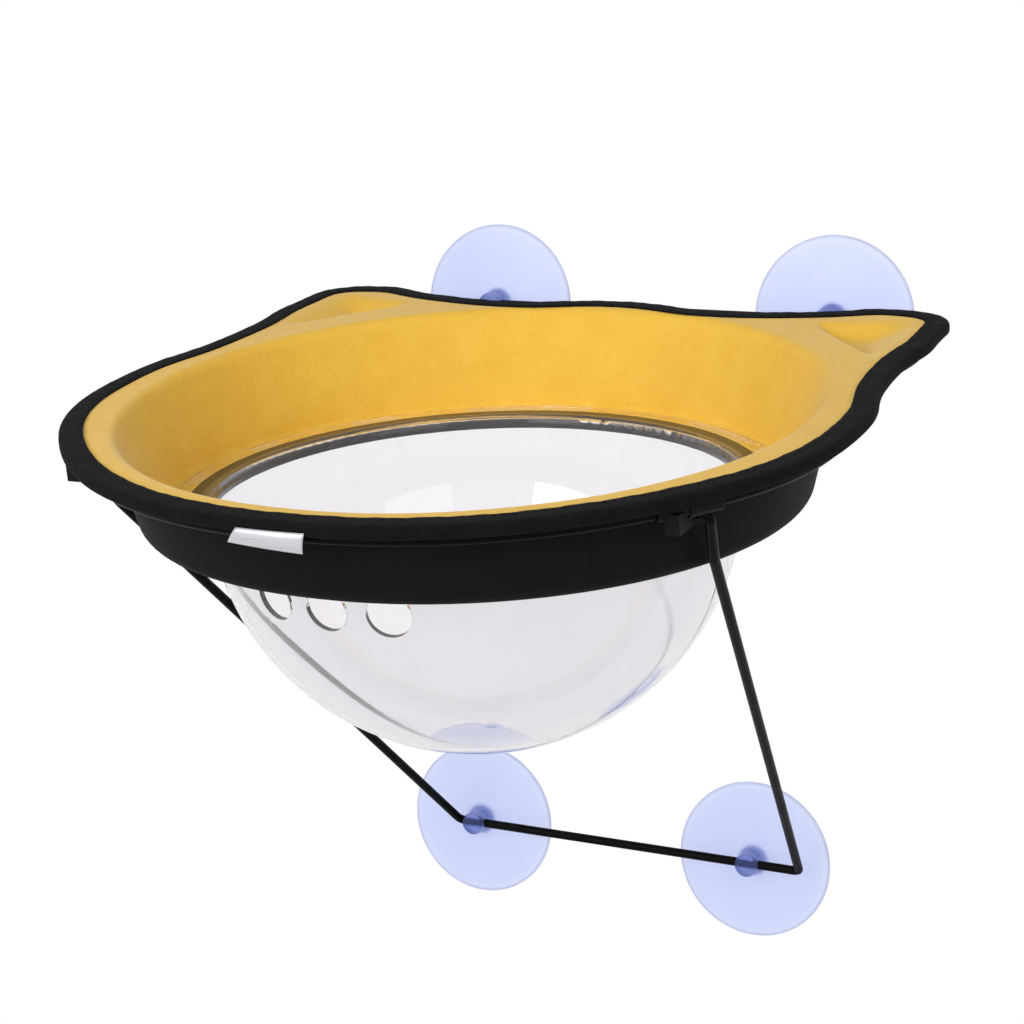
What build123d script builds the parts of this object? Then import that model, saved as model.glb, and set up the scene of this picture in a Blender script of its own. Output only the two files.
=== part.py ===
from build123d import *
import math
import os

os.makedirs("parts", exist_ok=True)

# Frame: the glass is the plane y = 0, the room is on the -y side, +z is up.
# The origin is on the glass, on the plane that halves the tray, level with the upper wire run.

# Main sizes
tray_half_width = 200.5
tray_depth = 378.5
tray_droop_deg = 10.2
floor_tilt_deg = 2.0
cup_diameter = 90.0
wire_diameter = 5.0
wire_rise = 309.9
wire_standoff = 10.0

# Outline of the rim, half of it from front to back.
# Columns: share of the half width, share of the depth measured forward from the back edge.
outline_shares = (
    (0.0, 1.0),
    (0.396, 0.962),
    (0.743, 0.835),
    (0.960, 0.658),
    (1.0, 0.478),
    (0.946, 0.320),
    (0.936, 0.235),
    (0.950, 0.110),
    (0.901, -0.003),
    (0.770, -0.024),
    (0.569, 0.008),
    (0.340, 0.028),
    (0.0, 0.0),
)

# Tray layers
lining_thickness = 2.0
shell_thickness = 3.0
binding_thickness = 0.8
rim_binding_width = 12.0
rim_binding_under_width = 7.2
rim_binding_round = 2.0
rim_back_gap = 13.5
rim_on_wire_gap = 0.1
lip_round = 5.0

# Basin of the tray
basin_end_offset = 3.5
side_brim_width = 30.5
end_brim_width = 22.75
basin_wall_lean = 10.5
basin_foot_round = 4.0
basin_top_spare = 12.0
floor_back_shift = 1.25
floor_drop = 39.1
hole_binding_width = 8.0

# Pockets in the two ears: corners as shares of the half width and of the depth
ear_corner_shares = ((0.880, 0.020), (0.580, 0.056), (0.868, 0.230))
ear_depth = 7.0
ear_corner_round = 6.0
ear_wall_slope_deg = 38.0

# Clear bowl
dome_gap = 3.5
dome_centre_rise = 2.0
bowl_wall = 2.6
flange_gap = 0.5
flange_lap = 16.0
flange_thickness = 2.6
flange_round = 1.0
flange_inner_round = 4.0
flange_outer_round = 2.2
vent_diameter = 22.0
vent_drop = 20.6
vent_first_deg = -19.7
vent_step_deg = 14.2
vent_count = 3

# Wires
ring_inset = 9.0
ring_rear_inset = 74.5
ring_point_count = 9
span_decimals = 1
elbow_inset = 2.0
elbow_front_gap = 94.9
elbow_drop = 6.0
knee_inset = 5.8
knee_run = 17.1
knee_fall = 27.0
bar_half_length = 107.0
wire_bend_radius = 4.0
pin_length = 12.0

# Hinge clips under the rim
clip_bore_gap = 0.05
clip_wall = 1.9
clip_nose_wall = 1.1
clip_sleeve_length = 17.0
clip_nose_length = 15.0
clip_back_length = 3.0
clip_mouth_level = 1.4
knuckle_radius = 4.6
knuckle_width = 6.8
web_low_gap = 1.2
web_length = 21.0
clip_search_share = 0.0005

# Suction cups
hub_radius = 6.6
hub_front = 5.6
hub_round = 1.2
hub_bore_gap = 0.1
boss_radius = 8.2
boss_length = 2.2
cup_edge_thickness = 1.3
cup_middle_thickness = 3.6
cup_lip_round = 0.5
cup_recess_radius = 40.0
cup_recess_depth = 0.5
upper_cup_left_inset = 38.4
upper_cup_right_inset = 11.5
lower_cup_left_inset = 10.6
lower_cup_right_inset = 30.2

wire_radius = wire_diameter / 2
cup_radius = cup_diameter / 2
stack_thickness = lining_thickness + shell_thickness
rim_bottom = wire_radius + rim_on_wire_gap
stack_bottom = rim_bottom + binding_thickness
stack_top = stack_bottom + stack_thickness
rim_top = stack_top + binding_thickness

# The basin is as wide as its brims let it be, and the bowl follows the basin's floor.
side_room = tray_half_width - side_brim_width - basin_end_offset
end_room = tray_depth / 2 - end_brim_width
basin_mouth_radius = min(side_room, end_room)
basin_foot_radius = basin_mouth_radius - basin_wall_lean
flange_radius = basin_foot_radius - basin_foot_round - flange_gap
floor_hole_radius = flange_radius - flange_lap
dome_radius = floor_hole_radius - dome_gap
floor_centre = rim_back_gap + tray_depth / 2 - floor_back_shift

# Places along the wires
elbow_depth = rim_back_gap + tray_depth - elbow_front_gap
knee_depth = elbow_depth - knee_run
knee_drop = elbow_drop + knee_fall
ring_rear_half = tray_half_width - ring_rear_inset
upper_cup_left = ring_rear_half - upper_cup_left_inset
upper_cup_right = ring_rear_half - upper_cup_right_inset
lower_cup_left = bar_half_length - lower_cup_left_inset
lower_cup_right = bar_half_length - lower_cup_right_inset

tray_frame = Pos(0, -wire_standoff, 0) * Rot(tray_droop_deg, 0, 0)
floor_place = Pos(0, -floor_centre, -floor_drop) * Rot(-floor_tilt_deg, 0, 0)
floor_frame = tray_frame * floor_place


def save(solid, name):
    solid.label = name
    export_step(solid, "parts/" + name + ".step")


def rim_point(across_share, along_share):
    return (across_share * tray_half_width, -rim_back_gap - along_share * tray_depth)


def unit(x, y):
    size = math.hypot(x, y)
    return (x / size, y / size)


def point_ways(points, first_way, last_way):
    ways = [first_way]
    for before, here, after in zip(points, points[1:], points[2:]):
        gap_in = math.dist(before, here)
        gap_out = math.dist(here, after)
        way_in = unit(here[0] - before[0], here[1] - before[1])
        way_out = unit(after[0] - here[0], after[1] - here[1])
        ways.append(unit(way_in[0] * gap_out + way_out[0] * gap_in, way_in[1] * gap_out + way_out[1] * gap_in))
    return ways + [last_way]


def smooth_arcs(points, ways):
    arcs = []
    for start, end, way_in, way_out in zip(points, points[1:], ways, ways[1:]):
        gap = (end[0] - start[0], end[1] - start[1])
        both = (way_in[0] + way_out[0], way_in[1] + way_out[1])
        bend = 2 * (1 - way_in[0] * way_out[0] - way_in[1] * way_out[1])
        run = gap[0] * both[0] + gap[1] * both[1]
        square = gap[0] ** 2 + gap[1] ** 2
        reach = (math.sqrt(run ** 2 + bend * square) - run) / bend
        corner_in = (start[0] + way_in[0] * reach, start[1] + way_in[1] * reach)
        corner_out = (end[0] - way_out[0] * reach, end[1] - way_out[1] * reach)
        middle = ((corner_in[0] + corner_out[0]) / 2, (corner_in[1] + corner_out[1]) / 2)
        middle_way = unit(corner_out[0] - corner_in[0], corner_out[1] - corner_in[1])
        arcs.append(TangentArc(start, middle, tangent=way_in))
        arcs.append(TangentArc(middle, end, tangent=middle_way))
    return arcs


def mirrored(edges):
    return [mirror(edge, Plane.YZ).edges()[0] for edge in edges]


right_points = [rim_point(a, b) for a, b in outline_shares]
right_ways = point_ways(right_points, (1, 0), (-1, 0))
right_edges = smooth_arcs(right_points, right_ways)
outline_flat = make_face(right_edges + mirrored(right_edges))


def outline_face(inset):
    if inset > 0:
        return offset(outline_flat, -inset)
    return outline_flat


def plate(inset, low, high):
    return extrude(Pos(0, 0, low) * outline_face(inset), high - low, dir=(0, 0, 1))


def basin(depth):
    foot_radius = basin_foot_radius + depth
    mouth_radius = basin_mouth_radius + depth
    slope = (mouth_radius - foot_radius) / floor_drop
    height = floor_drop + stack_top
    top_radius = mouth_radius + slope * (height + basin_top_spare - floor_drop)
    full_height = height + basin_top_spare + depth
    place = Align.CENTER, Align.CENTER, Align.MIN
    body = Pos(basin_end_offset, 0, -depth) * Cone(foot_radius, top_radius, full_height, align=place)
    body = body + Pos(-basin_end_offset, 0, -depth) * Cone(foot_radius, top_radius, full_height, align=place)
    low = -depth
    high = low + full_height
    side = Polyline((-foot_radius, low), (foot_radius, low), (top_radius, high), (-top_radius, high), close=True)
    middle = extrude(Plane.YZ * make_face(side), basin_end_offset, both=True)
    body = body + middle
    low_edges = body.edges().group_by(Axis.Z)[0]
    body = fillet(low_edges, basin_foot_round + depth)
    ceiling = Pos(0, -floor_centre, stack_top) * Box(
        tray_half_width * 2, tray_depth * 2, full_height, align=(Align.CENTER, Align.CENTER, Align.MIN))
    return floor_place * body - ceiling


def ear_pocket(side, depth):
    corners = [rim_point(a, b) for a, b in ear_corner_shares]
    middle_x = sum(x for x, y in corners) / len(corners)
    middle_y = sum(y for x, y in corners) / len(corners)
    points = []
    for x, y in corners:
        reach = math.hypot(x - middle_x, y - middle_y)
        grow = 1 + depth / reach
        points.append((side * (middle_x + (x - middle_x) * grow), middle_y + (y - middle_y) * grow))
    loop = FilletPolyline(*points, radius=ear_corner_round + depth, close=True)
    face = Pos(0, 0, stack_top) * make_face(loop)
    down = -(ear_depth + depth)
    return extrude(face, down, dir=(0, 0, 1), taper=ear_wall_slope_deg)


def inside(depth):
    body = basin(depth)
    if depth > 0:
        body = body + plate(binding_thickness, stack_top - depth, stack_top)
    body = body + ear_pocket(1, depth)
    body = body + ear_pocket(-1, depth)
    return body


through_hole = floor_place * Cylinder(floor_hole_radius + binding_thickness, cup_diameter)
leg_step = floor_place * Cylinder(
    floor_hole_radius + hole_binding_width, binding_thickness, align=(Align.CENTER, Align.CENTER, Align.MAX))

space_top = inside(0)
space_middle = inside(lining_thickness)
space_under = inside(stack_thickness)


def on_mouth(edge):
    spot = edge.center()
    if edge.geom_type != GeomType.LINE:
        spot = edge.position_at(0.5)
    across = max(abs(spot.X) - basin_end_offset, 0)
    along_mouth = spot.Y + floor_centre
    near = abs(math.hypot(across, along_mouth) - basin_mouth_radius) < basin_foot_round
    return near and abs(spot.Z - stack_top) < binding_thickness


lining = space_middle - space_top - through_hole - leg_step
lining = fillet(lining.edges().filter_by(on_mouth), lip_round)
shell = space_under - space_middle - through_hole
save(tray_frame * lining, "tray_lining")
save(tray_frame * shell, "tray_shell")

rim_blank = plate(0, rim_bottom, rim_top)
rim_faces = rim_blank.faces().sort_by(Axis.Z)
rim_blank = fillet(rim_faces[0].edges() + rim_faces[-1].edges(), rim_binding_round)
rim_binding = rim_blank - plate(rim_binding_width, stack_bottom, rim_top)
rim_binding = rim_binding - plate(rim_binding_under_width, rim_bottom, stack_bottom)
rim_binding = rim_binding - plate(binding_thickness, stack_bottom, stack_top)
save(tray_frame * rim_binding, "rim_binding")


def floor_disc(radius, low, high):
    return Pos(0, 0, low) * Cylinder(radius, high - low, align=(Align.CENTER, Align.CENTER, Align.MIN))


hole_leg_radius = floor_hole_radius + hole_binding_width
under_floor = -stack_thickness - binding_thickness
hole_binding = floor_disc(hole_leg_radius, under_floor, 0)
slot = floor_disc(hole_leg_radius, -stack_thickness, -binding_thickness)
slot = slot - floor_disc(floor_hole_radius + binding_thickness, -stack_thickness, -binding_thickness)
hole_binding = hole_binding - floor_disc(floor_hole_radius, under_floor, 0) - slot
save(floor_frame * hole_binding, "hole_binding")


def dome_point(radius, level):
    return (math.sqrt(radius ** 2 - (level - dome_centre_rise) ** 2), level)


def dome_arc(radius, level):
    middle_rad = (math.asin((level - dome_centre_rise) / radius) - math.pi / 2) / 2
    bottom = (0, dome_centre_rise - radius)
    middle = (radius * math.cos(middle_rad), dome_centre_rise + radius * math.sin(middle_rad))
    return ThreePointArc(bottom, middle, dome_point(radius, level))


inner_dome_radius = dome_radius - bowl_wall
outer_start = dome_point(dome_radius, 0)
inner_start = dome_point(inner_dome_radius, flange_thickness)
bowl_loop = dome_arc(dome_radius, 0)
bowl_loop += Polyline(
    outer_start, (flange_radius, 0), (flange_radius, flange_thickness), inner_start)
bowl_loop += dome_arc(inner_dome_radius, flange_thickness)
bowl_loop += Line((0, dome_centre_rise - dome_radius), (0, dome_centre_rise - inner_dome_radius))
bowl_face = make_face(bowl_loop)


def round_corner(face, point, radius):
    corner = face.vertices().sort_by_distance((point[0], point[1], 0))[0]
    return fillet(corner, radius)


bowl_face = round_corner(bowl_face, outer_start, flange_outer_round)
bowl_face = round_corner(bowl_face, inner_start, flange_inner_round)
bowl_face = round_corner(bowl_face, (flange_radius, 0), flange_round)
bowl_face = round_corner(bowl_face, (flange_radius, flange_thickness), flange_round)
bowl = revolve(Plane.XZ * bowl_face, Axis.Z)
vent_tilt_deg = math.degrees(math.asin((vent_drop + dome_centre_rise) / dome_radius))
for step in range(vent_count):
    turn = vent_first_deg + step * vent_step_deg
    vent = Pos(0, -dome_radius, 0) * Rot(90, 0, 0) * Cylinder(vent_diameter / 2, vent_diameter)
    bowl = bowl - Pos(0, 0, dome_centre_rise) * Rot(0, 0, turn) * Rot(vent_tilt_deg, 0, 0) * vent
save(floor_frame * bowl, "bowl")

ring_points = []
for (x, y), (way_x, way_y) in zip(right_points[:ring_point_count], right_ways):
    ring_points.append((x - way_y * ring_inset, y + way_x * ring_inset))
ring_points.append((ring_rear_half, 0))
ring_ways = right_ways[:ring_point_count] + [(-1, 0)]
ring_right_edges = smooth_arcs(ring_points, ring_ways)
ring_right_wire = Wire(ring_right_edges)


def along(path, radius):
    section = Plane(origin=path.position_at(0), z_dir=path.tangent_at(0)) * Circle(radius)
    return sweep(section, path=path)


ring_rear = Line((ring_rear_half, 0), (-ring_rear_half, 0))
ring_wire = along(Wire(ring_right_edges + [ring_rear] + mirrored(ring_right_edges)), wire_radius)
save(tray_frame * ring_wire, "ring_wire")


ring_length = ring_right_wire.length


def ring_share(depth):
    share = 0
    while ring_right_wire.position_at(share).Y < -depth:
        share += clip_search_share
    return share


ring_half_span = round(ring_right_wire.position_at(ring_share(elbow_depth)).X, span_decimals)
elbow_half_span = ring_half_span - elbow_inset
knee_half_span = elbow_half_span - knee_inset
pin_end_half_span = elbow_half_span - pin_length


def placed(x, y, z):
    return (tray_frame * Pos(x, y, z)).position


prop_points = [
    placed(-pin_end_half_span, -elbow_depth, -elbow_drop),
    placed(-elbow_half_span, -elbow_depth, -elbow_drop),
    placed(-knee_half_span, -knee_depth, -knee_drop),
    Vector(-bar_half_length, -wire_standoff, -wire_rise),
    Vector(bar_half_length, -wire_standoff, -wire_rise),
    placed(knee_half_span, -knee_depth, -knee_drop),
    placed(elbow_half_span, -elbow_depth, -elbow_drop),
    placed(pin_end_half_span, -elbow_depth, -elbow_drop),
]
prop_path = FilletPolyline(*prop_points, radius=wire_bend_radius)
prop_start = Plane(origin=prop_path.position_at(0), z_dir=prop_path.tangent_at(0))
prop_wire = sweep(prop_start * Circle(wire_radius), path=prop_path)
save(prop_wire, "prop_wire")

back_share = ring_share(elbow_depth - clip_back_length)
sleeve_share = back_share - clip_sleeve_length / ring_length
nose_share = sleeve_share - clip_nose_length / ring_length
spare_share = clip_back_length / ring_length
sleeve_path = ring_right_wire.trim(sleeve_share, back_share)
nose_path = ring_right_wire.trim(nose_share, sleeve_share)
bore_path = ring_right_wire.trim(nose_share - spare_share, back_share + spare_share)
clip = along(sleeve_path, wire_radius + clip_wall)
clip = clip + along(nose_path, wire_radius + clip_nose_wall)
knuckle_middle = pin_end_half_span + knuckle_width / 2
knuckle_spot = Pos(knuckle_middle, -elbow_depth, -elbow_drop)
clip = clip + knuckle_spot * Rot(0, 90, 0) * Cylinder(knuckle_radius, knuckle_width)
web_low = -elbow_drop - knuckle_radius + web_low_gap
clip = clip + Pos(knuckle_middle, -elbow_depth, web_low) * Box(
    knuckle_width, web_length, -web_low, align=(Align.CENTER, Align.MAX, Align.MIN))
clip = clip - Pos(0, -elbow_depth, clip_mouth_level) * Box(
    tray_half_width * 2, tray_depth, tray_depth, align=(Align.CENTER, Align.CENTER, Align.MIN))
clip = clip - along(bore_path, wire_radius + clip_bore_gap)
clip = clip - knuckle_spot * Rot(0, 90, 0) * Cylinder(wire_radius + clip_bore_gap, knuckle_width * 2)
save(tray_frame * clip, "hinge_clip_right")
save(tray_frame * mirror(clip, Plane.YZ), "hinge_clip_left")

cup_loop = Polyline(
    (0, -cup_recess_depth),
    (cup_recess_radius, 0),
    (cup_radius, 0),
    (cup_radius, -cup_edge_thickness),
    (boss_radius, -cup_middle_thickness),
    (hub_radius, -cup_middle_thickness - boss_length),
    (hub_radius, -wire_standoff - hub_front),
    (0, -wire_standoff - hub_front),
    close=True,
)
cup_face = make_face(cup_loop)
cup_face = round_corner(cup_face, (hub_radius, -wire_standoff - hub_front), hub_round)
cup_face = round_corner(cup_face, (cup_radius, -cup_edge_thickness), cup_lip_round)
cup = revolve(Plane.XZ * cup_face, Axis.Z)
cup = cup - Pos(0, 0, -wire_standoff) * Rot(0, 90, 0) * Cylinder(wire_radius + hub_bore_gap, cup_radius)
cup = Rot(-90, 0, 0) * cup

cup_spots = (
    ("cup_upper_left", -upper_cup_left, 0),
    ("cup_upper_right", upper_cup_right, 0),
    ("cup_lower_left", -lower_cup_left, -wire_rise),
    ("cup_lower_right", lower_cup_right, -wire_rise),
)
for name, x, z in cup_spots:
    save(Pos(x, 0, z) * cup, name)
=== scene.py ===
import math

import bmesh
import bpy
import numpy as np
from mathutils import Matrix, Vector

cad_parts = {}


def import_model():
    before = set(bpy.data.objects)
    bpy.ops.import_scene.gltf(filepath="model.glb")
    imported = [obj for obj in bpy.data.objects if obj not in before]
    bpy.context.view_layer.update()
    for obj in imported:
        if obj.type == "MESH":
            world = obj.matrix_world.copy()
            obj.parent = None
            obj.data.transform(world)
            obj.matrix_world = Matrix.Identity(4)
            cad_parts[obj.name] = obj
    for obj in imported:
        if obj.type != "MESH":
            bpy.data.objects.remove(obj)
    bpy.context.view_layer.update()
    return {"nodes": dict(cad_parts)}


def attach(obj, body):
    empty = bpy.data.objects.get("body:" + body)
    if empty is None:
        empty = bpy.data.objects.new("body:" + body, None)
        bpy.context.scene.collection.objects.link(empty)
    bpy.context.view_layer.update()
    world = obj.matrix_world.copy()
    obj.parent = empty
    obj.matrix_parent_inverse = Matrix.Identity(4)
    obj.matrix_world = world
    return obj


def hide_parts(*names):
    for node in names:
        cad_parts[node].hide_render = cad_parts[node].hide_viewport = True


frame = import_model()
nodes = frame["nodes"]
MM = 0.001

# The tray's own frame, in millimetres: x across, v towards the glass, w up, origin on the upper wire's axis.
TRAY_HALF_WIDTH = 200.5
TRAY_DEPTH = 378.5
DROOP = math.radians(10.2)
FLOOR_TILT = math.radians(2.0)
WIRE_STANDOFF = 10.0
RIM_BACK_GAP = 13.5
OUTLINE_SHARES = (
    (0.0, 1.0), (0.396, 0.962), (0.743, 0.835), (0.960, 0.658), (1.0, 0.478), (0.946, 0.320), (0.936, 0.235),
    (0.950, 0.110), (0.901, -0.003), (0.770, -0.024), (0.569, 0.008), (0.340, 0.028), (0.0, 0.0),
)
OUTLINE_STEP = 1.5
ARC_POINTS = 24
NEARLY_ZERO = 1e-6
QUARTER_TURN = math.pi / 2

# Levels through the rim, from the underside of its tape to the top.
RIM_LOW, STACK_LOW, STACK_TOP, RIM_TOP = 2.6, 3.4, 8.4, 9.2

# Basin, its floor and the hole in the floor.
FLOOR_CENTRE, FLOOR_DROP = 201.5, 39.1
BASIN_END, MOUTH_RADIUS, FOOT_RADIUS, FOOT_ROUND = 3.5, 166.5, 156.0, 4.0
WALL_SLOPE = (MOUTH_RADIUS - FOOT_RADIUS) / FLOOR_DROP
HOLE_RADIUS, HOLE_TAPE_WIDTH, HOLE_TAPE_THICK = 135.5, 8.0, 0.8

# Plush lining: its thickness, its rounded lip and how far it is tucked under the rim's tape.
LINING = 2.0
LIP, LEAST_LIP = 6.5, 1.0
PLUSH_BACK = LINING - 0.1
PLUSH_RIM_TUCK = 1.4
LEAST_PLUSH, PLUSH_BACK_GAP = 0.4, 0.05

# Round the hole the plush is sunk under the tape's leg. The first run is from the hole's edge, and the
# other two are from the end of the leg.
PLUSH_EDGE_RUN, SUNK_END_RUN, PLUSH_FLOOR_RUN = 0.9, 0.05, 0.2
SUNK_GAP = 0.03

# The plush rises and falls a little, apart from the rings next to the hole.
PLUSH_WAVE, PLUSH_WAVES_ROUND, PLUSH_WAVE_SHIFT, PLUSH_WAVE_PER_MM = 0.12, 7, 1.3, 0.05
EVEN_RINGS = 3

# How fine the mesh of the plush is. Its back is coarser.
ANGLES = np.linspace(0, 2 * np.pi, 700, endpoint=False)
FLOOR_STEPS, WALL_STEPS, ROUND_STEPS = 8, 14, 8
BRIM_POINTS, BACK_BRIM_POINTS, BACK_COARSENESS = 48, 40, 3

# Pockets moulded into the ears, and how softly the plush goes down into them.
EAR_DEPTH, EAR_ROUND, EAR_SLOPE = 7.0, 6.0, math.radians(38.0)
EAR_CORNER_SHARES = ((0.880, 0.020), (0.580, 0.056), (0.868, 0.230))
EAR_SOFT_GROW = 1.0
CREASE_RUN, BACK_RUN, OUTER_RUN = 5.5, 20.0, 26.0

# Tape folded round the rim.
RIM_TAPE_TOP_WIDTH, RIM_TAPE_UNDER_WIDTH = 12.0, 7.2
RIM_TAPE_THICK, RIM_TAPE_ROUND, RIM_TAPE_CROWN = 0.8, 2.4, 0.25
RIM_TAPE_INNER_ROUND, RIM_TAPE_LIFT = 1.2, 0.02
TOP_POINTS, TURN_POINTS, UNDER_POINTS, INNER_UNDER_POINTS, INNER_TOP_POINTS = 8, 7, 5, 4, 6
TAPE_WAVES = ((0.10, 61, 0.7), (0.07, 143, 2.1), (0.05, 23, 0.0))
TAPE_FIRM_SHARE, TAPE_SIDE_SHARE = 0.35, 0.35
TAPE_TOP_REACH, TAPE_UNDER_REACH = 0.1, 0.2
TAPE_FREE_INSET, TAPE_EDGE_INSET, TAPE_LIFT_LEVEL = 10, 1.5, 6
SOFTEN_SHARE, LEAST_SOFTENING, SOFTEN_SPREAD = 0.55, 0.5, 2.5

# Stitches: how fine and how thick the thread is, and the rim's two seams as (level, inset, side).
THREAD_SIDES, THREAD_RINGS = 6, 5
THREAD_END_SHARE, THREAD_BOW_SHARE, THREAD_SUNK_SHARE = 0.25, 1.1, 0.4
RIM_THREAD_RADIUS, HOLE_THREAD_RADIUS = 0.32, 0.3
RIM_SEAMS = ((RIM_TOP + 0.12, 9.6, 1), (RIM_LOW - 0.02, 5.6, -1))
STITCH_PITCH_STEPS, STITCH_LENGTH_STEPS = 3, 2
HOLE_STITCHES, HOLE_STITCH_TURN = 236, 0.017
HOLE_SEAM_INSET, HOLE_SEAM_LEVEL = 6.0, -5.82

# Tape round the hole, as (distance out from the hole's edge, level above the plush).
HOLE_SECTION = (
    (HOLE_TAPE_WIDTH, -0.1), (HOLE_TAPE_WIDTH - 0.4, 0.1), (5.0, 0.15), (2.0, 0.05), (0.8, -0.25),
    (0.1, -1.0), (-0.8, -2.4), (-1.9, -3.4), (-2.1, -4.4), (-1.2, -5.3), (0.6, -5.75), (2.0, -5.8),
    (HOLE_TAPE_WIDTH, -5.8), (HOLE_TAPE_WIDTH, -5.02), (1.0, -5.02), (0.9, -0.85),
    (HOLE_TAPE_WIDTH, -HOLE_TAPE_THICK),
)
HOLE_TAPE_POINTS, HOLE_TAPE_WAVE, HOLE_TAPE_WAVES = 480, 0.08, 47

# Blank label on the front of the rim. Its sides slant, and its lower edge falls to the right.
LABEL_TOP, LABEL_LOW_LEFT, LABEL_LOW_RIGHT = 5.4, -1.8, -3.9
LABEL_LEFT_TOP, LABEL_LEFT_LOW, LABEL_RIGHT_TOP, LABEL_RIGHT_LOW = -14.5, -19.5, 19.0, 17.5
LABEL_GAP, LABEL_BOW, LABEL_BOW_POWER, LABEL_THICK = 0.25, 0.9, 0.7, 0.35
LABEL_SIDE_STEEPNESS, LABEL_TOP_STEEPNESS = 30, 9
LABEL_ROWS, LABEL_COLUMNS = 13, 41
FRONT_SHARE = 0.9

# Suction cups: radius, and the centre of each on the glass as (x, z).
CUP_RADIUS = 45.0
CUP_CENTRES = {
    "upper_left": (-87.6, 0), "upper_right": (114.5, 0), "lower_left": (-96.4, -309.9),
    "lower_right": (76.8, -309.9),
}

# Studio, in metres: a floor far below, three soft lamps and the photograph's camera.
FLOOR_HALF, FLOOR_LEVEL = 6.0, -0.75
TARGET = Vector((0.0, -0.2, -0.05))
LAMPS = (
    ("key", (-0.50, -1.90, 0.50), (1.0, 1.0), 22),
    ("fill", (1.6, -1.3, 0.55), (1.2, 1.2), 11),
    ("top", (0.0, 0.1, 1.7), (1.2, 0.8), 1.5),
)
WORLD_LIGHT, WORLD_SEEN = 0.40, 1.0
CAMERA_PLACE = (0.528055, -1.237828, 0.112155)
CAMERA_YAW, CAMERA_PITCH, CAMERA_ROLL = math.radians(26.1226), math.radians(9.644), math.radians(0.4171)
FOCAL_PIXELS, IMAGE_PIXELS, SENSOR_MM = 2389.08, 1024, 36.0
CLIP_NEAR, CLIP_FAR = 0.05, 30.0


def world(x, v, w):
    """Tray frame in millimetres to the row frame in metres, for numbers or arrays."""
    y = -WIRE_STANDOFF + v * math.cos(DROOP) - w * math.sin(DROOP)
    z = v * math.sin(DROOP) + w * math.cos(DROOP)
    return np.stack(np.broadcast_arrays(x, y, z), axis=-1) * MM


def rim_point(across, along):
    return np.array((across * TRAY_HALF_WIDTH, -RIM_BACK_GAP - along * TRAY_DEPTH))


def unit(a):
    return a / np.linalg.norm(a)


def arc_samples(start, way, end, count):
    """Points of the arc that leaves start along way and reaches end, start left out."""
    chord = end - start
    normal = np.array((-way[1], way[0]))
    lift = chord @ normal
    if abs(lift) < NEARLY_ZERO:
        return [start + chord * (i + 1) / count for i in range(count)]
    radius = (chord @ chord) / (2 * lift)
    centre = start + normal * radius
    first = start - centre
    turn = 2 * math.atan2(lift, chord @ way)
    points = []
    for i in range(count):
        a = turn * (i + 1) / count
        points.append(centre + np.array((first[0] * math.cos(a) - first[1] * math.sin(a),
                                         first[0] * math.sin(a) + first[1] * math.cos(a))))
    return points


def outline_loop():
    """The rim's outline as an even, closed loop of points, counter-clockwise seen from above."""
    points = [rim_point(a, b) for a, b in OUTLINE_SHARES]
    ways = [np.array((1.0, 0.0))]
    for before, here, after in zip(points, points[1:], points[2:]):
        gap_in, gap_out = np.linalg.norm(here - before), np.linalg.norm(after - here)
        ways.append(unit(unit(here - before) * gap_out + unit(after - here) * gap_in))
    ways.append(np.array((-1.0, 0.0)))
    right = [points[0]]
    for start, end, way_in, way_out in zip(points, points[1:], ways, ways[1:]):
        gap, both = end - start, way_in + way_out
        bend = 2 * (1 - way_in @ way_out)
        run = gap @ both
        reach = (math.sqrt(run ** 2 + bend * (gap @ gap)) - run) / bend
        middle = (start + way_in * reach + end - way_out * reach) / 2
        middle_way = unit(end - way_out * reach - start - way_in * reach)
        right += arc_samples(start, way_in, middle, ARC_POINTS)
        right += arc_samples(middle, middle_way, end, ARC_POINTS)
    right = np.array(right)
    loop = np.vstack([right, (right * (-1, 1))[::-1][1:-1]])
    closed = np.vstack([loop, loop[:1]])
    length = np.r_[0, np.cumsum(np.linalg.norm(np.diff(closed, axis=0), axis=1))]
    count = int(round(length[-1] / OUTLINE_STEP))
    at = np.linspace(0, length[-1], count, endpoint=False)
    return np.column_stack([np.interp(at, length, closed[:, i]) for i in (0, 1)])


def loop_normals(loop):
    """Outward unit normals of a closed counter-clockwise loop."""
    way = np.roll(loop, -1, axis=0) - np.roll(loop, 1, axis=0)
    way /= np.linalg.norm(way, axis=1)[:, None]
    return np.column_stack([way[:, 1], -way[:, 0]])


def mesh_object(name, points, faces, material, body):
    """A smooth mesh piece with its normals facing out, riding on a body."""
    mesh = bpy.data.meshes.new(name)
    mesh.from_pydata([tuple(p) for p in points], [], faces)
    work = bmesh.new()
    work.from_mesh(mesh)
    bmesh.ops.recalc_face_normals(work, faces=work.faces)
    work.to_mesh(mesh)
    work.free()
    obj = bpy.data.objects.new(name, mesh)
    bpy.context.scene.collection.objects.link(obj)
    mesh.shade_smooth()
    mesh.materials.append(material)
    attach(obj, body)
    return obj


def grid_faces(rows, columns, wrap_rows=False, wrap_columns=True):
    faces = []
    for i in range(rows if wrap_rows else rows - 1):
        for j in range(columns if wrap_columns else columns - 1):
            a, b = i * columns + j, i * columns + (j + 1) % columns
            c, d = (i + 1) % rows * columns + (j + 1) % columns, (i + 1) % rows * columns + j
            faces.append((a, b, c, d))
    return faces


# Materials: each is a node tree on a Principled shader, in object coordinates.

def new_material(name, **values):
    """A material, its node tree and its shader. Each value is set on the socket that its key names."""
    material = bpy.data.materials.new(name)
    material.use_nodes = True
    shader = material.node_tree.nodes["Principled BSDF"]
    for key, value in values.items():
        shader.inputs[key.replace("_", " ")].default_value = value
    return material, material.node_tree, shader


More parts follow.
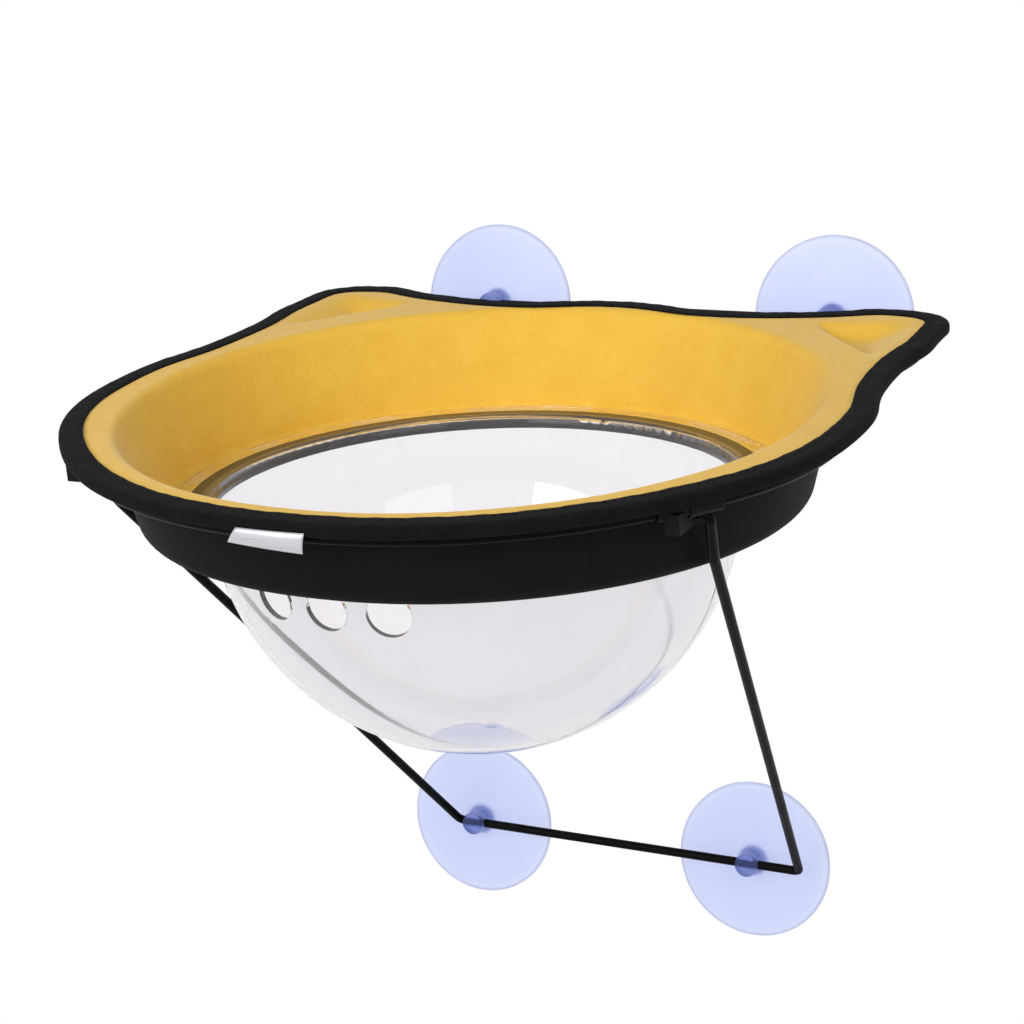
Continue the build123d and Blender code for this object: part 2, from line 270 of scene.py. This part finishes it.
def plug(tree, value, socket):
    """Links a socket's value, or sets a plain one. A colour of three numbers gets its fourth."""
    if isinstance(value, bpy.types.NodeSocket):
        tree.links.new(value, socket)
    elif socket.type == "RGBA" and len(value) == 3:
        socket.default_value = (*value, 1)
    else:
        socket.default_value = value


def add(tree, kind, **inputs):
    node = tree.nodes.new(kind)
    for key, value in inputs.items():
        plug(tree, value, node.inputs[key.replace("_", " ")])
    return node


def operate(tree, kind, operation, *values):
    """A Math or Vector Math node on one or two values."""
    node = tree.nodes.new(kind)
    node.operation = operation
    for value, socket in zip(values, node.inputs):
        plug(tree, value, socket)
    return node


def calculate(tree, operation, *values):
    return operate(tree, "ShaderNodeMath", operation, *values).outputs["Value"]


def grey(level):
    return (level, level, level)


def ramp(tree, factor, stops):
    node = tree.nodes.new("ShaderNodeValToRGB")
    plug(tree, factor, node.inputs["Fac"])
    elements = node.color_ramp.elements
    while len(elements) < len(stops):
        elements.new(0.5)
    for element, (at, colour) in zip(elements, stops):
        element.position = at
        element.color = (*colour, 1)
    return node.outputs["Color"]


def coordinates(tree):
    return tree.nodes.new("ShaderNodeTexCoord").outputs["Object"]


def noise(tree, vector, scale, detail=4.0, roughness=0.55):
    node = add(tree, "ShaderNodeTexNoise", Vector=vector, Scale=scale, Detail=detail, Roughness=roughness)
    return node.outputs["Fac"]


def cells(tree, vector, scale):
    return add(tree, "ShaderNodeTexVoronoi", Vector=vector, Scale=scale).outputs["Distance"]


def bump(tree, height, strength, distance, normal=None):
    node = add(tree, "ShaderNodeBump", Height=height, Strength=strength, Distance=distance)
    if normal is not None:
        plug(tree, normal, node.inputs["Normal"])
    return node.outputs["Normal"]


def mix_colour(tree, factor, first, second):
    node = tree.nodes.new("ShaderNodeMix")
    node.data_type = "RGBA"
    factor_socket, first_socket, second_socket = node.inputs[0], node.inputs[6], node.inputs[7]
    plug(tree, factor, factor_socket)
    plug(tree, first, first_socket)
    plug(tree, second, second_socket)
    return node.outputs[2]


def finish_material(tree, shader, colour=None, roughness=None, normal=None):
    for name, value in (("Base Color", colour), ("Roughness", roughness), ("Normal", normal)):
        if value is not None:
            plug(tree, value, shader.inputs[name])


def show_mix(tree, factor, first, second):
    """Makes the material's surface a mix of two shaders."""
    mixed = tree.nodes.new("ShaderNodeMixShader")
    for value, socket in zip((factor, first, second), mixed.inputs):
        tree.links.new(value, socket)
    tree.links.new(mixed.outputs["Shader"], tree.nodes["Material Output"].inputs["Surface"])


def plush_material():
    """Short mustard plush: brushed paler streaks, painted shade at the roots between the tufts and a pale
    sheen.
    """
    material, tree, shader = new_material(
        "plush", Roughness=0.9, Specular_IOR_Level=0.1, Sheen_Weight=0.45, Sheen_Roughness=0.38,
        Sheen_Tint=(1.0, 0.96, 0.80, 1))
    deep, bright = (0.79, 0.46, 0.052), (0.86, 0.52, 0.066)
    streak, root_shade = (0.91, 0.58, 0.090), (0.66, 0.36, 0.035)
    at = coordinates(tree)
    broad = noise(tree, at, 9.0, 3.0)
    brushed = noise(tree, at, 55.0, 5.0, 0.6)
    fibre = noise(tree, at, 900.0, 3.0, 0.7)
    tuft = cells(tree, at, 650.0)
    colour = ramp(tree, broad, [(0.3, deep), (0.7, bright)])
    colour = mix_colour(tree, ramp(tree, brushed, [(0.35, grey(0)), (0.75, grey(0.55))]), colour, streak)
    # Painted shade: darker colour at the roots between the tufts, where shade falls in the pile.
    colour = mix_colour(tree, ramp(tree, tuft, [(0.0, grey(0.20)), (0.6, grey(0))]), colour, root_shade)
    normal = bump(tree, brushed, 0.25, 0.0012)
    normal = bump(tree, tuft, 0.35, 0.0005, normal)
    normal = bump(tree, fibre, 0.5, 0.0004, normal)
    finish_material(tree, shader, colour, normal=normal)
    return material


def tape_material():
    """Woven black tape with a little wear and fuzz."""
    material, tree, shader = new_material("tape", Roughness=0.9, Specular_IOR_Level=0.10)
    black, worn, crossing = (0.0026, 0.0026, 0.0028), (0.0058, 0.0056, 0.0062), (0.010, 0.010, 0.011)
    at = coordinates(tree)
    weave = cells(tree, at, 900.0)
    wear = noise(tree, at, 60.0, 4.0)
    fuzz = noise(tree, at, 1400.0, 2.0)
    colour = ramp(tree, wear, [(0.3, black), (0.75, worn)])
    colour = mix_colour(tree, ramp(tree, weave, [(0.1, grey(0.5)), (0.6, grey(0))]), colour, crossing)
    normal = bump(tree, weave, 0.6, 0.0006)
    normal = bump(tree, fuzz, 0.4, 0.0003, normal)
    finish_material(tree, shader, colour, normal=normal)
    return material


def shell_material():
    """Smooth moulded black felt."""
    material, tree, shader = new_material("moulded_shell", Specular_IOR_Level=0.10)
    dark, light = (0.0034, 0.0024, 0.0027), (0.0060, 0.0046, 0.0050)
    at = coordinates(tree)
    cloud = noise(tree, at, 14.0, 3.0)
    grain = noise(tree, at, 1100.0, 3.0, 0.65)
    colour = ramp(tree, cloud, [(0.3, dark), (0.75, light)])
    roughness = ramp(tree, cloud, [(0.2, grey(0.66)), (0.8, grey(0.84))])
    finish_material(tree, shader, colour, roughness, bump(tree, grain, 0.35, 0.0003))
    return material


def wire_material():
    """Satin black paint with faint scuffs."""
    material, tree, shader = new_material("painted_wire", Specular_IOR_Level=0.04)
    paint, scuffed = (0.0022, 0.0022, 0.0026), (0.0052, 0.0052, 0.0058)
    at = coordinates(tree)
    speck = noise(tree, at, 700.0, 3.0)
    scuff = noise(tree, at, 120.0, 5.0, 0.7)
    colour = ramp(tree, scuff, [(0.45, paint), (0.8, scuffed)])
    roughness = ramp(tree, scuff, [(0.3, grey(0.32)), (0.8, grey(0.50))])
    finish_material(tree, shader, colour, roughness, bump(tree, speck, 0.15, 0.0002))
    return material


def clip_material():
    """Matte black plastic."""
    material, tree, shader = new_material("clip_plastic", Roughness=0.6, Specular_IOR_Level=0.1)
    dark, light = (0.0026, 0.0026, 0.0028), (0.0048, 0.0048, 0.0052)
    at = coordinates(tree)
    grain = noise(tree, at, 1500.0, 2.0)
    cloud = noise(tree, at, 80.0, 3.0)
    colour = ramp(tree, cloud, [(0.3, dark), (0.8, light)])
    finish_material(tree, shader, colour, normal=bump(tree, grain, 0.3, 0.0002))
    return material


def bowl_material():
    """Clear polished acrylic that lets the light of the lamps through to the plush under its flange."""
    clear, smeared, passing = (0.885, 0.875, 0.893), (0.865, 0.855, 0.876), (0.92, 0.91, 0.93)
    material, tree, shader = new_material(
        "clear_acrylic", IOR=1.42, Transmission_Weight=0.965, Specular_Tint=(0.4, 0.4, 0.41, 1))
    at = coordinates(tree)
    ripple = noise(tree, at, 16.0, 2.0, 0.4)
    smear = noise(tree, at, 45.0, 4.0)
    colour = ramp(tree, smear, [(0.3, clear), (0.8, smeared)])
    roughness = ramp(tree, smear, [(0.45, grey(0.012)), (0.8, grey(0.05))])
    finish_material(tree, shader, colour, roughness, bump(tree, ripple, 0.05, 0.0008))
    passed = add(tree, "ShaderNodeBsdfTransparent", Color=passing).outputs["BSDF"]
    lamp_ray = tree.nodes.new("ShaderNodeLightPath").outputs["Is Shadow Ray"]
    show_mix(tree, lamp_ray, shader.outputs["BSDF"], passed)
    return material


def cup_material(name, centre):
    """Soft translucent plastic with a darker rim, and bluer towards the hub of the cup at that centre."""
    material, tree, shader = new_material("cup_" + name, Roughness=0.28, IOR=1.3, Transmission_Weight=0.85)
    hub, hub_edge, disc = (0.10, 0.15, 0.52), (0.13, 0.19, 0.56), (0.64, 0.70, 1.0)
    outer, pale, rim = (0.68, 0.74, 1.0), (0.74, 0.79, 1.0), (0.55, 0.59, 0.82)
    cloudy, ring_radians_per_metre = (0.76, 0.80, 1.0), 1900.0
    at = coordinates(tree)
    offset = operate(tree, "ShaderNodeVectorMath", "SUBTRACT", at, centre).outputs["Vector"]
    flat = operate(tree, "ShaderNodeVectorMath", "MULTIPLY", offset, (1, 0, 1)).outputs["Vector"]
    reach = operate(tree, "ShaderNodeVectorMath", "LENGTH", flat).outputs["Value"]
    share = calculate(tree, "DIVIDE", reach, CUP_RADIUS * MM)
    cloud = noise(tree, at, 40.0, 3.0)
    colour = ramp(tree, share, [(0.0, hub), (0.15, hub_edge), (0.22, disc), (0.90, outer), (0.955, pale),
                                (0.985, rim)])
    colour = mix_colour(tree, ramp(tree, cloud, [(0.35, grey(0)), (0.75, grey(0.25))]), colour, cloudy)
    rings = calculate(tree, "SINE", calculate(tree, "MULTIPLY", reach, ring_radians_per_metre))
    normal = bump(tree, rings, 0.015, 0.0002)
    normal = bump(tree, noise(tree, at, 300.0, 3.0), 0.08, 0.0004, normal)
    finish_material(tree, shader, colour, normal=normal)
    return material


def thread_material():
    """Black thread with a fine twist."""
    material, tree, shader = new_material("thread", Roughness=0.75, Specular_IOR_Level=0.15)
    twist = noise(tree, coordinates(tree), 1800.0, 2.0)
    dark, light = (0.005, 0.005, 0.006), (0.013, 0.013, 0.015)
    colour = ramp(tree, twist, [(0.3, dark), (0.75, light)])
    finish_material(tree, shader, colour, normal=bump(tree, twist, 0.4, 0.0002))
    return material


def label_material():
    """Brushed pale metal, its brushing along the label."""
    material, tree, shader = new_material("label_metal", Metallic=0.45)
    dark, light = (0.44, 0.44, 0.47), (0.66, 0.66, 0.70)
    stretched = add(tree, "ShaderNodeMapping", Vector=coordinates(tree), Scale=(12.0, 12.0, 600.0))
    brushed = noise(tree, stretched.outputs["Vector"], 4.0, 4.0)
    colour = ramp(tree, brushed, [(0.3, dark), (0.75, light)])
    roughness = ramp(tree, brushed, [(0.3, grey(0.28)), (0.8, grey(0.42))])
    finish_material(tree, shader, colour, roughness, bump(tree, brushed, 0.2, 0.0002))
    return material


plush = plush_material()
tape = tape_material()
shell_look = shell_material()
wire_look = wire_material()
clip_look = clip_material()
thread_look = thread_material()


def dress(node, material):
    mesh = nodes[node].data
    mesh.materials.clear()
    mesh.materials.append(material)


dress("tray_shell", shell_look)
dress("ring_wire", wire_look)
dress("prop_wire", wire_look)
dress("hinge_clip_left", clip_look)
dress("hinge_clip_right", clip_look)
dress("bowl", bowl_material())
for place, (cup_x, cup_z) in CUP_CENTRES.items():
    dress("cup_" + place, cup_material(place, (cup_x * MM, 0, cup_z * MM)))


# Plush lining: rings of points from the hole, over the floor, up the wall, round the lip and out to the rim.

loop = outline_loop()
outward = loop_normals(loop)
RIM_COUNT = len(loop)


def basin_reach(radius, angle):
    """Distance from the basin's centre to its wall: two circles drawn apart and joined by straight sides."""
    across, along = np.cos(angle), np.sin(angle)
    spread = BASIN_END * np.abs(across)
    round_end = spread + np.sqrt(np.maximum(radius ** 2 - (BASIN_END * along) ** 2, 0))
    straight = radius / np.maximum(np.abs(along), NEARLY_ZERO)
    return np.where(np.abs(across) * straight < BASIN_END, straight, round_end)


def outline_reach(angle, inset):
    """Distance from the basin's centre to the rim's outline, drawn in by inset, at each angle."""
    points = loop - outward * inset - (0, -FLOOR_CENTRE)
    around = np.arctan2(points[:, 1], points[:, 0])
    order = np.argsort(around)
    around, reach = around[order], np.linalg.norm(points, axis=1)[order]
    around = np.r_[around - 2 * np.pi, around, around + 2 * np.pi]
    return np.interp(angle, around, np.r_[reach, reach, reach])


def ear_corners(side, grow):
    """Corners of an ear's pocket, moved away from their middle by grow."""
    corners = [rim_point(a, b) * (side, 1) for a, b in EAR_CORNER_SHARES]
    middle = sum(corners) / len(corners)
    return [middle + (c - middle) * (1 + grow / np.linalg.norm(c - middle)) for c in corners]


def edge_depths(x, v, corners):
    """Distances inside each edge of a triangle, positive inside."""
    p = np.stack([x, v], axis=-1)
    middle = sum(corners) / len(corners)
    depths = []
    for a, b in zip(corners, corners[1:] + corners[:1]):
        way = unit(b - a)
        normal = np.array((-way[1], way[0]))
        normal *= np.sign((middle - a) @ normal)
        depths.append((p - a) @ normal)
    return depths


def pocket_depth(x, v, side, grow):
    """Distance inside the rounded triangle of the moulded pocket, negative outside."""
    radius = EAR_ROUND + grow
    corners = ear_corners(side, grow)
    inner = []
    for here, one, two in zip(corners, corners[1:] + corners[:1], corners[-1:] + corners[:-1]):
        ways = unit(one - here), unit(two - here)
        half = math.acos(ways[0] @ ways[1]) / 2
        inner.append(here + unit(ways[0] + ways[1]) * radius / math.sin(half))
    p = np.stack([x, v], axis=-1)
    nearest = np.full(x.shape, np.inf)
    for a, b in zip(inner, inner[1:] + inner[:1]):
        way = b - a
        t = np.clip(((p - a) @ way) / (way @ way), 0, 1)
        nearest = np.minimum(nearest, np.linalg.norm(p - (a + t[..., None] * way), axis=-1))
    inside = np.min(edge_depths(x, v, inner), axis=0) > 0
    return np.where(inside, nearest, -nearest) + radius


def soft_step(t):
    t = np.clip(t, 0, 1)
    return t * t * (3 - 2 * t)


def shell_level(x, v):
    """Level of the moulded shell under the brim."""
    level = np.full(x.shape, STACK_TOP - LINING)
    for side in (1, -1):
        depth = pocket_depth(x, v, side, LINING)
        level = np.minimum(level, STACK_TOP - np.clip(depth / math.tan(EAR_SLOPE), 0, EAR_DEPTH + LINING))
    return level


def brim_level(x, v):
    """Level of the plush on the brim: steep on the basin's side of a pocket, a slow rise to the rim."""
    drop = np.zeros(x.shape)
    for side in (1, -1):
        back, crease, outer = edge_depths(x, v, ear_corners(side, EAR_SOFT_GROW))
        steep = np.clip(crease / CREASE_RUN, 0, 1)
        drop += EAR_DEPTH * steep * soft_step(back / BACK_RUN) * soft_step(outer / OUTER_RUN)
    return np.maximum(STACK_TOP - drop, shell_level(x, v) + LEAST_PLUSH)


def floor_level(v):
    return -FLOOR_DROP + (-(v + FLOOR_CENTRE)) * math.tan(FLOOR_TILT)


def lining_rings(depth, brim_points, coarseness=1):
    """Rings of (x, v, w) on the surface that lies depth below the plush, from the hole outwards."""
    cos_a, sin_a = np.cos(ANGLES), np.sin(ANGLES)
    round_points, wall_points = 1 + ROUND_STEPS // coarseness, 1 + WALL_STEPS // coarseness
    rings = []

    def put(reach, level):
        lean = (level + FLOOR_DROP) * math.tan(FLOOR_TILT)
        rings.append(np.column_stack([reach * cos_a, -FLOOR_CENTRE + reach * sin_a + lean, level]))

    def put_low(reach, lift):
        put(reach, floor_level(-FLOOR_CENTRE + reach * sin_a) - depth + lift)

    wall_height = FLOOR_DROP + STACK_TOP - depth
    foot = basin_reach(FOOT_RADIUS + depth, ANGLES)
    mouth = basin_reach(FOOT_RADIUS + WALL_SLOPE * wall_height + depth, ANGLES)
    rounding = FOOT_ROUND + depth
    sunk = HOLE_TAPE_THICK + SUNK_GAP if depth == 0 else 0.0
    for past_edge in (PLUSH_EDGE_RUN, HOLE_TAPE_WIDTH + SUNK_END_RUN):
        put_low(np.full_like(ANGLES, HOLE_RADIUS + past_edge), -sunk)
    start = np.full_like(ANGLES, HOLE_RADIUS + HOLE_TAPE_WIDTH + PLUSH_FLOOR_RUN)
    for t in np.linspace(0, 1, 1 + FLOOR_STEPS // coarseness):
        put_low(start + (foot - rounding - start) * t, 0.0)
    for a in np.linspace(0, QUARTER_TURN, round_points)[1:]:
        put_low(foot - rounding + rounding * math.sin(a), rounding * (1 - math.cos(a)))
    low = floor_level(-FLOOR_CENTRE + foot * sin_a) - depth + rounding
    lip = max(LIP - depth, LEAST_LIP)
    top = np.full_like(ANGLES, STACK_TOP - depth)
    lean = math.atan(WALL_SLOPE)
    lip_low = lip * (1 - math.sin(lean))
    for t in np.linspace(0, 1, wall_points)[1:]:
        put(foot + (mouth - WALL_SLOPE * lip_low - foot) * t, low + (top - lip_low - low) * t)
    lip_middle = mouth - WALL_SLOPE * lip_low + lip * math.cos(lean)
    for a in np.linspace(lean, QUARTER_TURN, round_points)[1:]:
        put(lip_middle - lip * math.cos(a), top - lip + lip * math.sin(a))
    inner = rings[-1][:, :2]
    edge = outline_reach(ANGLES, PLUSH_RIM_TUCK)
    outer = np.column_stack([edge * cos_a, -FLOOR_CENTRE + edge * sin_a])
    for t in np.linspace(0, 1, brim_points)[1:]:
        x, v = (inner + (outer - inner) * t).T
        level = brim_level(x, v)
        if depth > 0:
            level = np.maximum(level - depth, shell_level(x, v) + PLUSH_BACK_GAP)
        rings.append(np.column_stack([x, v, level]))
    return rings


def make_lining():
    """The plush with its face in rings, then its back, which is black like the shell."""
    face_rings = lining_rings(0.0, BRIM_POINTS)
    back_rings = lining_rings(PLUSH_BACK, BACK_BRIM_POINTS, BACK_COARSENESS)
    rings = np.array(face_rings + back_rings[::-1])
    waves = PLUSH_WAVE * np.sin(ANGLES * PLUSH_WAVES_ROUND + PLUSH_WAVE_SHIFT)
    for ring in rings[EVEN_RINGS:len(face_rings)]:
        ring[:, 2] += waves * np.cos(ring[:, 1] * PLUSH_WAVE_PER_MM)
    points = world(rings[..., 0], rings[..., 1], rings[..., 2]).reshape(-1, 3)
    faces = grid_faces(len(rings), len(ANGLES), wrap_rows=True)
    piece = mesh_object("plush_lining", points, faces, plush, "tray")
    piece.data.materials.append(shell_look)
    for face in piece.data.polygons:
        if face.index >= len(face_rings) * len(ANGLES):
            face.material_index = 1
    return piece


lining = make_lining()
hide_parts("tray_lining")


# Tape round the rim: a folded strip carried along the outline, with stitches through both of its legs.

def rim_tape_section():
    """Closed section as (inset, level): along the top, round the edge, back under, then the inner side."""
    thick, rounding = RIM_TAPE_THICK, RIM_TAPE_ROUND
    outer = []
    for t in np.linspace(RIM_TAPE_TOP_WIDTH, rounding, TOP_POINTS):
        crown = math.sin(math.pi * min(1, (RIM_TAPE_TOP_WIDTH - t) / RIM_TAPE_TOP_WIDTH))
        outer.append((t, RIM_TOP + RIM_TAPE_CROWN * crown))
    for a in np.linspace(0, QUARTER_TURN, TURN_POINTS)[1:]:
        outer.append((rounding - rounding * math.sin(a), RIM_TOP - rounding + rounding * math.cos(a)))
    for a in np.linspace(0, QUARTER_TURN, TURN_POINTS):
        outer.append((rounding - rounding * math.cos(a), RIM_LOW + rounding - rounding * math.sin(a)))
    outer += [(t, RIM_LOW) for t in np.linspace(rounding, RIM_TAPE_UNDER_WIDTH, UNDER_POINTS)[1:]]
    inner = [(t, RIM_LOW + thick) for t in np.linspace(RIM_TAPE_UNDER_WIDTH, thick, INNER_UNDER_POINTS)]
    inner += [(thick, STACK_LOW + RIM_TAPE_INNER_ROUND), (thick, STACK_TOP - RIM_TAPE_INNER_ROUND)]
    inner_top = np.linspace(thick, RIM_TAPE_TOP_WIDTH, INNER_TOP_POINTS)
    inner += [(t, STACK_TOP + RIM_TAPE_LIFT) for t in inner_top]
    return outer + inner


def soften(points, reach):
    """A closed loop with each point averaged over about reach to both sides."""
    if reach < LEAST_SOFTENING:
        return points
    steps = int(reach * SOFTEN_SPREAD / OUTLINE_STEP)
    weights = np.exp(-0.5 * (np.arange(-steps, steps + 1) * OUTLINE_STEP / reach) ** 2)
    wrapped = np.vstack([points[-steps:], points, points[:steps]])
    return np.column_stack([np.convolve(wrapped[:, i], weights / weights.sum(), "valid") for i in (0, 1)])


def make_rim_tape():
    section = rim_tape_section()
    along = np.arange(RIM_COUNT) / RIM_COUNT * 2 * np.pi
    ripple = sum(size * np.sin(along * turns + shift) for size, turns, shift in TAPE_WAVES)
    points = []
    for inset, level in section:
        is_leg = level > STACK_TOP + TAPE_TOP_REACH or level < RIM_LOW + TAPE_UNDER_REACH
        looseness = 1.0 if is_leg else TAPE_FIRM_SHARE
        shift = inset + TAPE_SIDE_SHARE * (ripple * (looseness if inset < TAPE_FREE_INSET else 1.0))
        at = soften(loop - outward * shift[:, None], inset * SOFTEN_SHARE)
        lifted = inset > TAPE_EDGE_INSET and level > TAPE_LIFT_LEVEL
        points.append(world(at[:, 0], at[:, 1], level + ripple * (looseness if lifted else 0)))
    faces = grid_faces(len(section), RIM_COUNT, wrap_rows=True)
    return mesh_object("rim_tape", np.array(points).reshape(-1, 3), faces, tape, "tray")


rim_tape = make_rim_tape()
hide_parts("rim_binding")


def thread_mesh(name, stitches, radius, body):
    """Short stitches: each start, end and upward way makes a capsule that bows a little out of the cloth."""
    points, faces = [], []
    sides = range(THREAD_SIDES)
    for ends in stitches:
        start, end, up = (Vector(e) for e in ends)
        way = (end - start).normalized()
        across = way.cross(up).normalized()
        base = len(points)
        for r in range(THREAD_RINGS):
            t = r / (THREAD_RINGS - 1)
            bow = math.sin(math.pi * t)
            size = radius * (THREAD_END_SHARE + (1 - THREAD_END_SHARE) * bow ** 0.5)
            centre = start.lerp(end, t) + up * (radius * (bow * THREAD_BOW_SHARE - THREAD_SUNK_SHARE))
            for s in sides:
                a = 2 * math.pi * s / THREAD_SIDES
                points.append(centre + across * math.cos(a) * size + up * math.sin(a) * size)
        for r in range(THREAD_RINGS - 1):
            first = base + r * THREAD_SIDES
            for s in sides:
                a, b = first + s, first + (s + 1) % THREAD_SIDES
                faces.append((a, b, b + THREAD_SIDES, a + THREAD_SIDES))
        faces.append(tuple(base + s for s in reversed(sides)))
        faces.append(tuple(base + (THREAD_RINGS - 1) * THREAD_SIDES + s for s in sides))
    return mesh_object(name, points, faces, thread_look, body)


def rim_stitch_ends():
    up = unit(world(0.0, 0.0, 1.0) - world(0.0, 0.0, 0.0))
    stitches = []
    for level, inset, side in RIM_SEAMS:
        seam = soften(loop - outward * inset, inset * SOFTEN_SHARE)
        for i in range(0, RIM_COUNT - 1, STITCH_PITCH_STEPS):
            a, b = seam[i], seam[(i + STITCH_LENGTH_STEPS) % RIM_COUNT]
            stitches.append((world(a[0], a[1], level), world(b[0], b[1], level), up * side))
    return stitches


rim_stitches = thread_mesh("rim_stitches", rim_stitch_ends(), RIM_THREAD_RADIUS * MM, "tray")


# Tape round the hole in the floor, and its stitches.

def floor_world(radius, angle, level):
    """Point of the floor's own frame: round the hole's axis, level above the plush."""
    x, along = radius * np.cos(angle), radius * np.sin(angle)
    v = -FLOOR_CENTRE + along * math.cos(FLOOR_TILT) + level * math.sin(FLOOR_TILT)
    w = -FLOOR_DROP - along * math.sin(FLOOR_TILT) + level * math.cos(FLOOR_TILT)
    return world(x, v, w)


def make_hole_tape():
    angles = np.linspace(0, 2 * np.pi, HOLE_TAPE_POINTS, endpoint=False)
    wave = HOLE_TAPE_WAVE * np.sin(angles * HOLE_TAPE_WAVES)
    points = [floor_world(HOLE_RADIUS + out + wave, angles, level) for out, level in HOLE_SECTION]
    faces = grid_faces(len(HOLE_SECTION), HOLE_TAPE_POINTS, wrap_rows=True)
    return mesh_object("hole_tape", np.array(points).reshape(-1, 3), faces, tape, "tray")


def hole_stitch_ends():
    down = -unit(floor_world(0.0, 0.0, 1.0) - floor_world(0.0, 0.0, 0.0))
    radius = HOLE_RADIUS + HOLE_SEAM_INSET
    stitches = []
    for i in range(HOLE_STITCHES):
        a = 2 * math.pi * i / HOLE_STITCHES
        stitches.append((floor_world(radius, a, HOLE_SEAM_LEVEL),
                         floor_world(radius, a + HOLE_STITCH_TURN, HOLE_SEAM_LEVEL), down))
    return stitches


hole_tape = make_hole_tape()
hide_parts("hole_binding")
hole_thread = thread_mesh("hole_stitches", hole_stitch_ends(), HOLE_THREAD_RADIUS * MM, "tray")


# Blank label plate on the front of the rim, bent along the tape and bowed a little outwards.

def between(first, second, share):
    return first + (second - first) * share


def make_label():
    front = loop[loop[:, 1] < -RIM_BACK_GAP - TRAY_DEPTH * FRONT_SHARE]
    front_x, front_v = front[np.argsort(front[:, 0])].T
    rows, columns = LABEL_ROWS, LABEL_COLUMNS
    points = []
    for is_face in (True, False):
        for i in range(rows):
            for j in range(columns):
                s, t = j / (columns - 1), i / (rows - 1)
                left = between(LABEL_LEFT_LOW, LABEL_LEFT_TOP, t)
                right = between(LABEL_RIGHT_LOW, LABEL_RIGHT_TOP, t)
                low = between(LABEL_LOW_LEFT, LABEL_LOW_RIGHT, s)
                x = between(left, right, s)
                side_rise = min(s, 1 - s) * LABEL_SIDE_STEEPNESS
                soft = min(1.0, side_rise, min(t, 1 - t) * LABEL_TOP_STEEPNESS) ** 0.5
                thick = LABEL_THICK + LABEL_THICK * soft if is_face else 0
                out = LABEL_GAP + LABEL_BOW * math.sin(math.pi * t) ** LABEL_BOW_POWER + thick
                points.append(world(x, np.interp(x, front_x, front_v) - out, between(low, LABEL_TOP, t)))
    count = rows * columns
    faces = grid_faces(rows, columns, wrap_columns=False)
    faces += [tuple(count + k for k in reversed(f)) for f in faces]
    rim = list(range(columns))
    rim += [i * columns + columns - 1 for i in range(1, rows)]
    rim += [(rows - 1) * columns + j for j in reversed(range(columns - 1))]
    rim += [i * columns for i in reversed(range(1, rows - 1))]
    for a, b in zip(rim, rim[1:] + rim[:1]):
        faces.append((b, a, count + a, count + b))
    return mesh_object("blank_label", points, faces, label_material(), "tray")


make_label()


# Studio: floor, world, lamps and camera.

def background_rays(tree):
    """1 for a ray that shows the background: straight from the camera, through clear pieces or off gloss."""
    path = tree.nodes.new("ShaderNodeLightPath").outputs
    seen = calculate(tree, "MAXIMUM", path["Is Camera Ray"], path["Is Transmission Ray"])
    return calculate(tree, "MAXIMUM", seen, path["Is Glossy Ray"])


def make_floor():
    mesh = bpy.data.meshes.new("floor")
    corners = ((-1, -1), (1, -1), (1, 1), (-1, 1))
    mesh.from_pydata([(x * FLOOR_HALF, y * FLOOR_HALF, FLOOR_LEVEL) for x, y in corners], [], [(0, 1, 2, 3)])
    floor = bpy.data.objects.new("floor", mesh)
    bpy.context.scene.collection.objects.link(floor)
    material, tree, shader = new_material("pale_floor", Roughness=0.8, Base_Color=(0.86, 0.86, 0.86, 1))
    glow = add(tree, "ShaderNodeEmission", Strength=WORLD_SEEN, Color=grey(1)).outputs["Emission"]
    show_mix(tree, background_rays(tree), shader.outputs["BSDF"], glow)
    mesh.materials.append(material)


def make_world():
    backdrop = bpy.data.worlds.new("studio")
    bpy.context.scene.world = backdrop
    backdrop.use_nodes = True
    tree = backdrop.node_tree
    background = tree.nodes["Background"]
    plug(tree, grey(1), background.inputs["Color"])
    rays = background_rays(tree)
    strength = add(tree, "ShaderNodeMapRange", Value=rays, To_Min=WORLD_LIGHT, To_Max=WORLD_SEEN)
    plug(tree, strength.outputs["Result"], background.inputs["Strength"])


def make_lamp(name, place, size, power):
    light = bpy.data.lights.new(name, "AREA")
    light.shape = "RECTANGLE"
    light.size, light.size_y = size
    light.energy = power
    lamp = bpy.data.objects.new(name, light)
    lamp.location = place
    lamp.rotation_mode = "QUATERNION"
    lamp.rotation_quaternion = (TARGET - Vector(place)).to_track_quat("-Z", "Y")
    bpy.context.scene.collection.objects.link(lamp)


def make_camera():
    data = bpy.data.cameras.new("camera")
    data.sensor_width = SENSOR_MM
    data.lens = FOCAL_PIXELS * SENSOR_MM / IMAGE_PIXELS
    data.clip_start, data.clip_end = CLIP_NEAR, CLIP_FAR
    camera = bpy.data.objects.new("camera", data)
    bpy.context.scene.collection.objects.link(camera)
    sin_yaw, cos_yaw, cos_pitch = math.sin(CAMERA_YAW), math.cos(CAMERA_YAW), math.cos(CAMERA_PITCH)
    back = Vector((sin_yaw * cos_pitch, -cos_yaw * cos_pitch, math.sin(CAMERA_PITCH)))
    level_right = Vector((cos_yaw, sin_yaw, 0))
    right = level_right * math.cos(CAMERA_ROLL) + back.cross(level_right) * math.sin(CAMERA_ROLL)
    turn = Matrix((right, back.cross(right), back)).transposed()
    camera.matrix_world = Matrix.Translation(CAMERA_PLACE) @ turn.to_4x4()
    bpy.context.scene.camera = camera


make_floor()
make_world()
for lamp in LAMPS:
    make_lamp(*lamp)
make_camera()
bpy.context.scene.view_settings.view_transform = "Standard"
